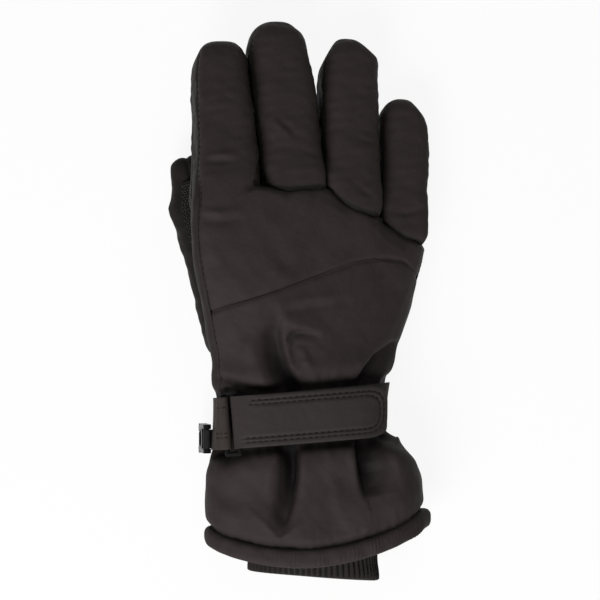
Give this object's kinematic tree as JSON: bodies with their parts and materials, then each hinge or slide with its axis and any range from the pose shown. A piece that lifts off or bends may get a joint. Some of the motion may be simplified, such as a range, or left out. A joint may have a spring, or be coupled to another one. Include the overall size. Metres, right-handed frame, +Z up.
{
  "type": "ski glove",
  "caption": "Padded right-hand ski glove lying palm down, thumb tucked under, with a wrist strap, flared gauntlet, rib knit cuff and pairing clip.",
  "frame": {"origin": "on the table under the middle of the glove as it lies palm down", "axes": "+Y from the cuff to the fingertips, +Z up from the palm to the back of the hand, +X towards the little finger"},
  "size_m": [0.1306, 0.28, 0.0608],
  "materials": {
    "shell": "charcoal black satin nylon",
    "palm_cloth": "matt black coated cloth",
    "grip": "black dotted grip",
    "padding": "white polyester wadding",
    "lining": "dark brushed fleece",
    "webbing": "black webbing",
    "strap": "black stitched nylon strap",
    "touch_fastener": "black hook and loop",
    "binding": "black satin binding",
    "knit": "black rib knit",
    "plastic": "glossy black moulded plastic"
  },
  "bodies": {
    "hand": {"back_upper_panel": "shell", "back_lower_panel": "shell", "side_panel": "shell", "palm_panel": "palm_cloth", "palm_grip": "grip", "hand_padding": "padding", "hand_lining": "lining", "wrist_elastic": "webbing", "gauntlet_back": "shell", "gauntlet_palm": "palm_cloth", "gauntlet_padding": "padding", "gauntlet_lining": "lining", "hem_binding": "binding", "knit_cuff": "knit", "strap_base": "strap", "strap_loop_patch": "touch_fastener", "ring_keeper": "webbing", "clip_loop": "webbing"},
    "index_finger": {"index_back": "shell", "index_sides": "shell", "index_palm": "palm_cloth", "index_padding": "padding", "index_lining": "lining"},
    "middle_finger": {"middle_back": "shell", "middle_sides": "shell", "middle_palm": "palm_cloth", "middle_padding": "padding", "middle_lining": "lining"},
    "ring_finger": {"ring_back_panel": "shell", "ring_sides": "shell", "ring_palm": "palm_cloth", "ring_padding": "padding", "ring_lining": "lining"},
    "little_finger": {"little_back_panel": "shell", "little_sides": "shell", "little_palm": "palm_cloth", "little_padding": "padding", "little_lining": "lining"},
    "thumb": {"thumb_back": "palm_cloth", "thumb_palm": "palm_cloth", "thumb_grip": "grip", "thumb_padding": "padding", "thumb_lining": "lining"},
    "strap_loop": {"strap_ring": "plastic"},
    "strap": {"strap_tab": "strap", "strap_hook_patch": "touch_fastener"},
    "clip": {"clip_body": "plastic"},
    "gate": {"clip_gate": "plastic"}
  },
  "joints": [
    {"name": "index_flex", "type": "hinge", "parent": "hand", "child": "index_finger", "pos_m": [-0.0365, 0.052, 0.04389], "axis": [-0.9981, -0.061, 0], "range_deg": [-10, 26], "stiffness_Nm_per_rad": 0.2},
    {"name": "middle_flex", "type": "hinge", "parent": "hand", "child": "middle_finger", "pos_m": [-0.0059, 0.052, 0.03595], "axis": [-0.9981, -0.061, 0], "range_deg": [-10, 55], "stiffness_Nm_per_rad": 0.2},
    {"name": "ring_flex", "type": "hinge", "parent": "hand", "child": "ring_finger", "pos_m": [0.0241, 0.0465, 0.02924], "axis": [-0.9999, -0.0105, 0], "range_deg": [-10, 55], "stiffness_Nm_per_rad": 0.2},
    {"name": "little_flex", "type": "hinge", "parent": "hand", "child": "little_finger", "pos_m": [0.0505, 0.0335, 0.02122], "axis": [-1, -0.007, 0], "range_deg": [-10, 55], "stiffness_Nm_per_rad": 0.2},
    {"name": "thumb_swing", "type": "hinge", "parent": "hand", "child": "thumb", "pos_m": [-0.03528, -0.018, 0.02], "axis": [0, 0, 1], "range_deg": [0, 40], "stiffness_Nm_per_rad": 0.2},
    {"name": "ring_swivel", "type": "hinge", "parent": "hand", "child": "strap_loop", "pos_m": [-0.03716, -0.0614, 0.04551], "axis": [0.0839, -0.9959, 0.0343], "range_deg": [0, 30]},
    {"name": "strap_peel", "type": "hinge", "parent": "strap_loop", "child": "strap", "pos_m": [-0.0308, -0.06077, 0.04811], "axis": [0.0839, -0.9959, 0.0343], "range_deg": [0, 120]},
    {"name": "clip_swing", "type": "hinge", "parent": "hand", "child": "clip", "pos_m": [-0.04647, -0.0695, 0.0293], "axis": [0, 1, 0], "range_deg": [0, 70]},
    {"name": "gate_open", "type": "hinge", "parent": "clip", "child": "gate", "pos_m": [-0.04907, -0.07458, 0.01084], "axis": [0.9903, 0, -0.1392], "range_deg": [0, 25], "stiffness_Nm_per_rad": 0.01}
  ]
}
